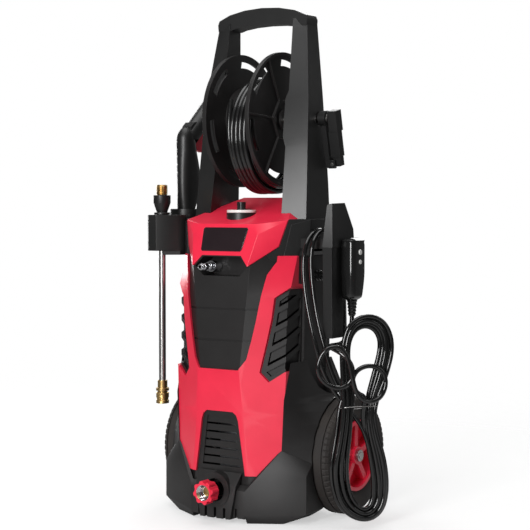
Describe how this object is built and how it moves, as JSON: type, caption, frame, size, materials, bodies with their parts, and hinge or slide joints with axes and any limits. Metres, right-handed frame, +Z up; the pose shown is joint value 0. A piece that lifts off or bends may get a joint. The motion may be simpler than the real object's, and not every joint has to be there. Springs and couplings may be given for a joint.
{
  "type": "electric pressure washer",
  "caption": "Upright wheeled electric pressure washer with a red faceted body, hose reel between two uprights, spray gun and lance in side holders, and a mains cord hung on a hook.",
  "frame": {"origin": "on the floor under the middle of the machine's bounding box, the hanging mains cord and its plug left out", "axes": "+Z up; +X to the machine's left hand side when standing behind it, which is the right as seen from the front; -Y out of the front face with the water inlet"},
  "size_m": [0.4625, 0.314, 0.86],
  "materials": {
    "red_plastic": "satin",
    "black_plastic": "fine texture",
    "dark_trim": "satin",
    "white_plastic": "smooth",
    "steel": "brushed",
    "chrome": "polished",
    "brass": "machined",
    "tyre_rubber": "ribbed",
    "cord_rubber": "glossy sheath",
    "hose_rubber": "smooth sheath",
    "motor_metal": "cast"
  },
  "bodies": {
    "chassis": {"axle_clips": "steel", "badge_plate": "dark_trim", "base_skirt": "black_plastic", "cord_gland": "cord_rubber", "cord_hank": "cord_rubber", "cord_hook": "black_plastic", "cord_lead": "cord_rubber", "cord_tail": "cord_rubber", "front_panel": "black_plastic", "front_shell": "red_plastic", "gun_holster": "black_plastic", "handle_bar": "black_plastic", "head_cover": "red_plastic", "inlet_filter": "brass", "inlet_tube": "steel", "lance_holder": "black_plastic", "lower_grille": "black_plastic", "motor": "motor_metal", "outlet_nipple": "chrome", "plug_body": "black_plastic", "plug_prongs": "brass", "plug_relief": "cord_rubber", "pressure_pipe": "steel", "pump": "motor_metal", "rear_housing": "black_plastic", "reel_bushes": "black_plastic", "shoulder_yokes": "black_plastic", "side_vents": "black_plastic", "switch_housing": "black_plastic", "upright_left": "black_plastic", "upright_right": "black_plastic", "wheel_axle": "steel"},
    "reel": {"reel_axle": "steel", "reel_drum": "black_plastic", "reel_flange_left": "black_plastic", "reel_flange_right": "black_plastic", "hose_coil": "hose_rubber", "hose_fitting": "brass", "crank_arm": "black_plastic", "crank_pin": "steel"},
    "crank_grip": {"crank_grip": "black_plastic"},
    "wheel_left": {"tyre_left": "tyre_rubber", "wheel_hub_left": "red_plastic"},
    "wheel_right": {"tyre_right": "tyre_rubber", "wheel_hub_right": "red_plastic"},
    "switch_knob": {"switch_dial": "white_plastic", "switch_knob": "black_plastic"},
    "lance": {"lance_tube": "steel", "lance_thread": "brass", "lance_collar": "black_plastic", "coupler_body": "brass"},
    "coupler_sleeve": {"coupler_sleeve": "brass"},
    "gun": {"gun_barrel_grip": "black_plastic", "gun_handle": "black_plastic", "gun_trigger_pin": "steel", "gun_valve": "brass"},
    "gun_trigger": {"gun_trigger": "red_plastic"},
    "inlet_nut": {"inlet_nut": "red_plastic"},
    "test_button": {"test_button": "white_plastic"},
    "reset_button": {"reset_button": "white_plastic"}
  },
  "joints": [
    {"name": "reel_spin", "type": "hinge", "parent": "chassis", "child": "reel", "pos_m": [0, 0.038, 0.669], "axis": [1, 0, 0], "continuous": true},
    {"name": "crank_grip_fold", "type": "hinge", "parent": "reel", "child": "crank_grip", "pos_m": [0.125, 0.05506, 0.59391], "axis": [0, 0.9751, 0.2215], "range_deg": [0, 90]},
    {"name": "wheel_left_spin", "type": "hinge", "parent": "chassis", "child": "wheel_left", "pos_m": [-0.1485, 0.057, 0.1], "axis": [1, 0, 0], "continuous": true},
    {"name": "wheel_right_spin", "type": "hinge", "parent": "chassis", "child": "wheel_right", "pos_m": [0.1485, 0.057, 0.1], "axis": [1, 0, 0], "continuous": true},
    {"name": "switch_turn", "type": "hinge", "parent": "chassis", "child": "switch_knob", "pos_m": [0, -0.043, 0.51], "axis": [0, 0, 1], "range_deg": [-90, 0]},
    {"name": "lance_lift", "type": "slide", "parent": "chassis", "child": "lance", "axis": [0, 0, 1], "range_m": [0, 0.34]},
    {"name": "coupler_pull", "type": "slide", "parent": "lance", "child": "coupler_sleeve", "axis": [0, 0, 1], "range_m": [0, 0.0026], "stiffness_N_per_m": 300, "springref_m": -0.004},
    {"name": "gun_lift", "type": "slide", "parent": "chassis", "child": "gun", "axis": [0, 0, 1], "range_m": [0, 0.06]},
    {"name": "trigger_pull", "type": "hinge", "parent": "gun", "child": "gun_trigger", "pos_m": [-0.16, 0.04073, 0.64532], "axis": [1, 0, 0], "range_deg": [0, 12], "stiffness_Nm_per_rad": 0.08, "springref_deg": -20.05},
    {"name": "inlet_nut_swivel", "type": "hinge", "parent": "chassis", "child": "inlet_nut", "pos_m": [0, -0.1455, 0.053], "axis": [0, 1, 0], "continuous": true},
    {"name": "test_button_press", "type": "slide", "parent": "chassis", "child": "test_button", "axis": [-1, 0, 0], "range_m": [0, 0.001], "stiffness_N_per_m": 400, "springref_m": -0.001},
    {"name": "reset_button_press", "type": "slide", "parent": "chassis", "child": "reset_button", "axis": [-1, 0, 0], "range_m": [0, 0.001], "stiffness_N_per_m": 400, "springref_m": -0.001}
  ]
}
